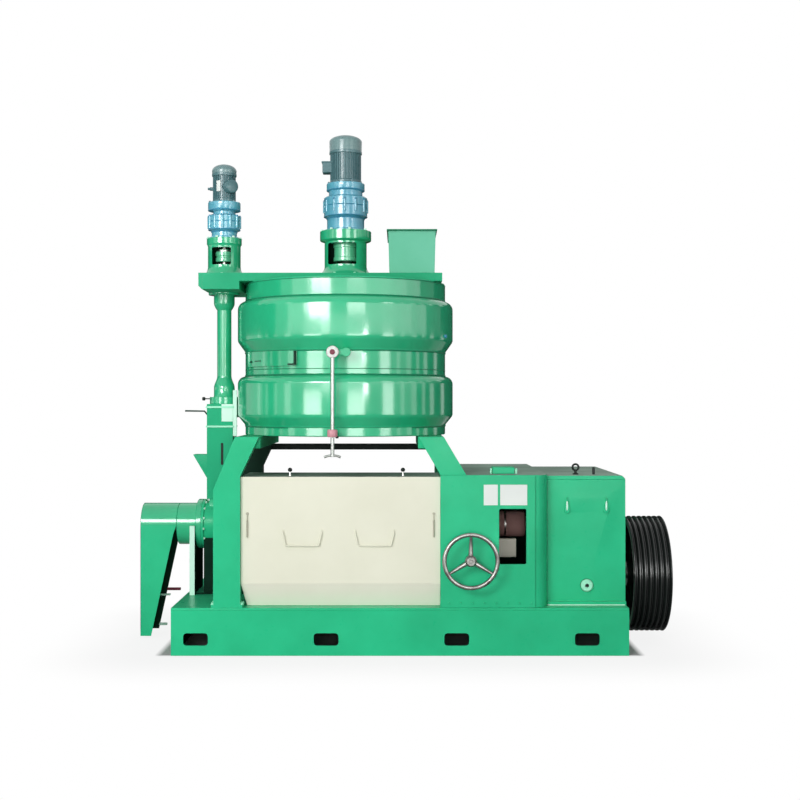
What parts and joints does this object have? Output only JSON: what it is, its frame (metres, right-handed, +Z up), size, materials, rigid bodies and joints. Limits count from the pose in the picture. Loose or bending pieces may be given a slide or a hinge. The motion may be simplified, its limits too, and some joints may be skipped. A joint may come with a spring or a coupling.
{
  "type": "screw oil press",
  "caption": "Skid-mounted screw oil press with a steam kettle above, force feeder, covered drainage cage, choke handwheel, gearbox and grooved belt pulley.",
  "frame": {"origin": "middle of the skid's footprint, on the floor", "axes": "+X along the worm towards the pulley, +Y away from the front with the handwheel, +Z up"},
  "size_m": [3.758, 1.661, 3.637],
  "materials": {
    "green_enamel": "gloss enamel",
    "dark_enamel": "gloss enamel",
    "cream_enamel": "satin enamel",
    "pale_green_enamel": "gloss enamel",
    "blue_enamel": "gloss enamel",
    "grey_enamel": "satin enamel",
    "machined_steel": "turned and ground",
    "worn_steel": "polished by use",
    "cast_iron": "rough casting, teeth cut",
    "blacked_iron": "blacked casting with turned grooves",
    "bright_steel": "bright and hand-worn"
  },
  "bodies": {
    "press": {"skid_front_rail": "green_enamel", "skid_rear_rail": "green_enamel", "skid_deck": "green_enamel", "left_frame": "green_enamel", "right_frame": "green_enamel", "rear_tie_bar": "dark_enamel", "discharge_housing": "green_enamel", "discharge_front_panel": "green_enamel", "feed_chamber": "green_enamel", "feed_end_housing": "green_enamel", "feed_end_bearing": "machined_steel", "feed_end_stand": "green_enamel", "cage_upper": "cast_iron", "cage_lower": "cast_iron", "hood": "green_enamel", "choke_stand": "cast_iron", "gearbox_case": "green_enamel", "gearbox_lid": "green_enamel", "gearbox_drain_plug": "bright_steel", "input_bearing_left": "machined_steel", "input_bearing_right": "machined_steel", "counter_bearing_left": "machined_steel", "counter_bearing_right": "machined_steel", "worm_bearing_left": "machined_steel", "worm_bearing_right": "machined_steel", "kettle_lower_shell": "green_enamel", "kettle_upper_shell": "green_enamel", "kettle_lid": "green_enamel", "platform": "green_enamel", "hopper": "pale_green_enamel", "kettle_drive_stand": "green_enamel", "kettle_reducer": "blue_enamel", "kettle_motor": "grey_enamel", "feeder_drive_stand": "green_enamel", "feeder_reducer": "blue_enamel", "feeder_motor": "grey_enamel", "feeder_column": "green_enamel", "feeder_casing": "green_enamel"},
    "drive": {"input_shaft": "machined_steel", "pulley": "blacked_iron"},
    "counter": {"countershaft": "machined_steel", "intermediate_gear": "cast_iron"},
    "worm": {"worm_shaft": "machined_steel", "press_worm": "worn_steel", "main_gear": "cast_iron"},
    "wheel": {"handwheel": "bright_steel", "handwheel_spindle": "machined_steel"},
    "choke_nut": {"choke_nut_wheel": "cast_iron"},
    "choke": {"choke_ring": "machined_steel"},
    "stirrer": {"stirrer_shaft": "machined_steel", "upper_sweep": "worn_steel", "lower_sweep": "worn_steel"},
    "auger": {"feeder_auger": "machined_steel"},
    "door": {"kettle_door": "green_enamel"},
    "rod": {"gate_rod": "bright_steel"},
    "lever": {"gate_lever": "green_enamel"},
    "hatch": {"feeder_door": "green_enamel"},
    "front_cover_body": {"front_cover": "cream_enamel"},
    "rear_cover_body": {"rear_cover": "cream_enamel"},
    "cap": {"inspection_cap": "green_enamel"}
  },
  "joints": [
    {"name": "drive_spin", "type": "hinge", "parent": "press", "child": "drive", "pos_m": [0, 0, 0.454], "axis": [1, 0, 0], "continuous": true},
    {"name": "counter_spin", "type": "hinge", "parent": "press", "child": "counter", "pos_m": [0, 0.24881, 0.60297], "axis": [1, 0, 0], "continuous": true},
    {"name": "worm_spin", "type": "hinge", "parent": "press", "child": "worm", "pos_m": [0, 0, 0.814], "axis": [1, 0, 0], "continuous": true},
    {"name": "handwheel_turn", "type": "hinge", "parent": "press", "child": "wheel", "pos_m": [0.469, -0.85, 0.647], "axis": [0, 1, 0], "range_deg": [0, 1800]},
    {"name": "choke_nut_turn", "type": "hinge", "parent": "press", "child": "choke_nut", "pos_m": [0.469, 0, 0.814], "axis": [1, 0, 0], "range_deg": [0, 180.1]},
    {"name": "choke_slide", "type": "slide", "parent": "press", "child": "choke", "axis": [-1, 0, 0], "range_m": [0, 0.0301]},
    {"name": "stirrer_spin", "type": "hinge", "parent": "press", "child": "stirrer", "pos_m": [-0.396, 0, 2], "axis": [0, 0, 1], "continuous": true},
    {"name": "auger_spin", "type": "hinge", "parent": "press", "child": "auger", "pos_m": [-1.28, 0, 2], "axis": [0, 0, 1], "continuous": true},
    {"name": "kettle_door_swing", "type": "hinge", "parent": "press", "child": "door", "pos_m": [-1.05806, -0.32291, 2], "axis": [0, 0, -1], "range_deg": [0, 110]},
    {"name": "gate_rod_slide", "type": "slide", "parent": "press", "child": "rod", "axis": [0, 0, -1], "range_m": [0, 0.05]},
    {"name": "gate_lever_turn", "type": "hinge", "parent": "press", "child": "lever", "pos_m": [-0.356, -0.85, 2.03], "axis": [0, 1, 0], "range_deg": [-34, 0]},
    {"name": "feeder_door_swing", "type": "hinge", "parent": "press", "child": "hatch", "pos_m": [-1.3993, 0.045, 1.59], "axis": [0, 0, -1], "range_deg": [0, 100]},
    {"name": "front_cover_off", "type": "slide", "parent": "press", "child": "front_cover_body", "axis": [0, -1, 0], "range_m": [0, 0.35]},
    {"name": "rear_cover_off", "type": "slide", "parent": "press", "child": "rear_cover_body", "axis": [0, 1, 0], "range_m": [0, 0.35]},
    {"name": "inspection_cap_off", "type": "slide", "parent": "press", "child": "cap", "axis": [0, 0, 1], "range_m": [0, 0.1]}
  ],
  "couplings": [
    {"joint": "counter_spin", "follows": "drive_spin", "ratio": -0.33333},
    {"joint": "worm_spin", "follows": "drive_spin", "ratio": 0.095238},
    {"joint": "choke_nut_turn", "follows": "handwheel_turn", "ratio": 0.1},
    {"joint": "choke_slide", "follows": "handwheel_turn", "m_per_rad": 0.00095493},
    {"joint": "gate_lever_turn", "follows": "gate_rod_slide", "rad_per_m": -11.774}
  ]
}
